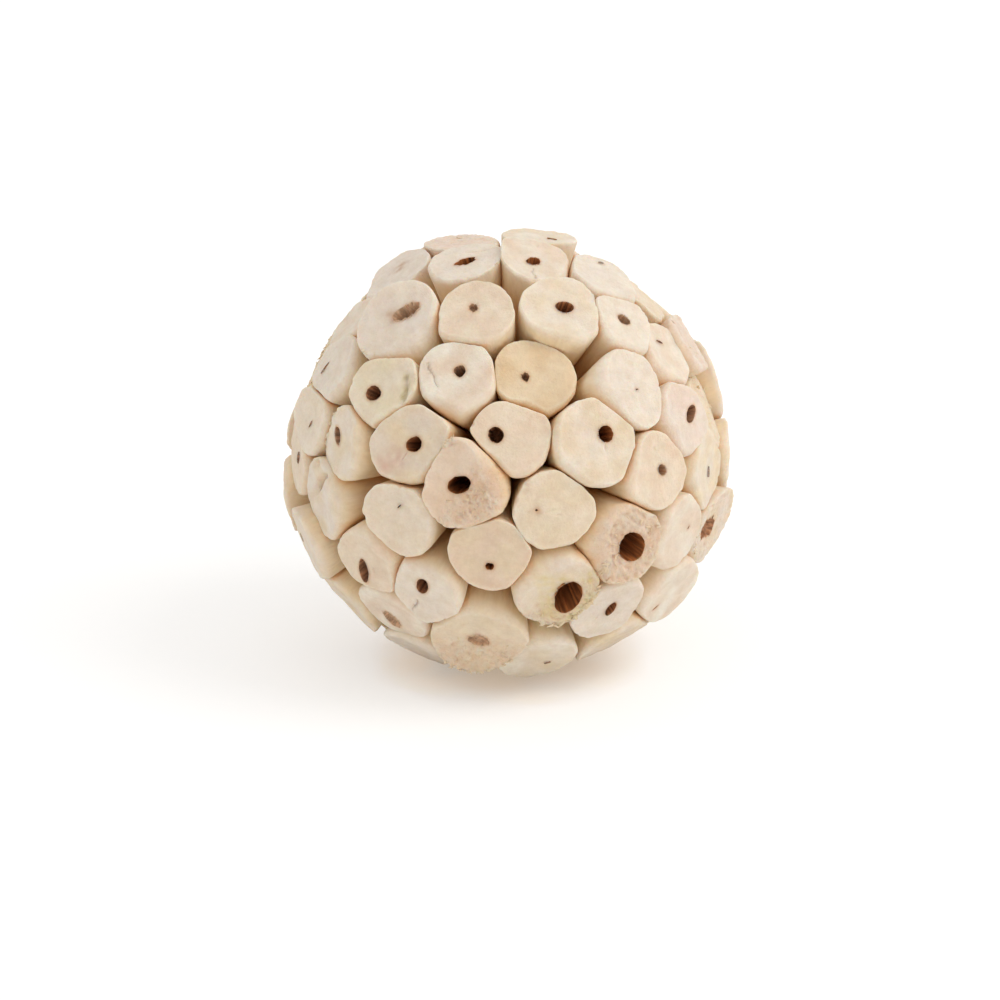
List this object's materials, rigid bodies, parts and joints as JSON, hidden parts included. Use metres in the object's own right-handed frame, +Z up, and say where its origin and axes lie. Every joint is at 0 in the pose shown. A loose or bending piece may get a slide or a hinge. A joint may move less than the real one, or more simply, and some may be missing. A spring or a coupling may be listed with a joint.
{
  "type": "sola wood ball",
  "caption": "Small decorative ball of tapered sola stem pegs glued round a pith core, each peg cut across to show its round end and pith channel.",
  "frame": {"origin": "middle of the foot peg's flat cut, on which the ball stands; the ball's middle is 28.3 mm above it", "axes": "+Z up through the ball's middle, -Y toward the side that the picture shows, +X to the right of that side"},
  "size_m": [0.0589, 0.0579, 0.0572],
  "materials": {
    "stem_pith": "matte",
    "core_pith": "matte"
  },
  "bodies": {
    "root": {"back_pegs_1": "stem_pith", "back_pegs_2": "stem_pith", "back_pegs_3": "stem_pith", "back_pegs_4": "stem_pith", "back_pegs_5": "stem_pith", "core": "core_pith", "foot_peg": "stem_pith", "peg_01": "stem_pith", "peg_02": "stem_pith", "peg_03": "stem_pith", "peg_04": "stem_pith", "peg_05": "stem_pith", "peg_06": "stem_pith", "peg_07": "stem_pith", "peg_08": "stem_pith", "peg_09": "stem_pith", "peg_10": "stem_pith", "peg_11": "stem_pith", "peg_12": "stem_pith", "peg_13": "stem_pith", "peg_14": "stem_pith", "peg_15": "stem_pith", "peg_16": "stem_pith", "peg_17": "stem_pith", "peg_18": "stem_pith", "peg_19": "stem_pith", "peg_20": "stem_pith", "peg_21": "stem_pith", "peg_22": "stem_pith", "peg_23": "stem_pith", "peg_24": "stem_pith", "peg_25": "stem_pith", "peg_26": "stem_pith", "peg_27": "stem_pith", "peg_28": "stem_pith", "peg_29": "stem_pith", "peg_30": "stem_pith", "peg_31": "stem_pith", "peg_32": "stem_pith", "peg_33": "stem_pith", "peg_34": "stem_pith", "peg_35": "stem_pith", "peg_36": "stem_pith", "peg_37": "stem_pith", "peg_38": "stem_pith", "peg_39": "stem_pith", "peg_40": "stem_pith", "peg_41": "stem_pith", "peg_42": "stem_pith", "peg_43": "stem_pith", "peg_44": "stem_pith", "peg_45": "stem_pith", "peg_46": "stem_pith", "peg_47": "stem_pith", "peg_48": "stem_pith", "peg_49": "stem_pith", "peg_50": "stem_pith", "peg_51": "stem_pith", "peg_52": "stem_pith", "peg_53": "stem_pith"}
  },
  "joints": []
}
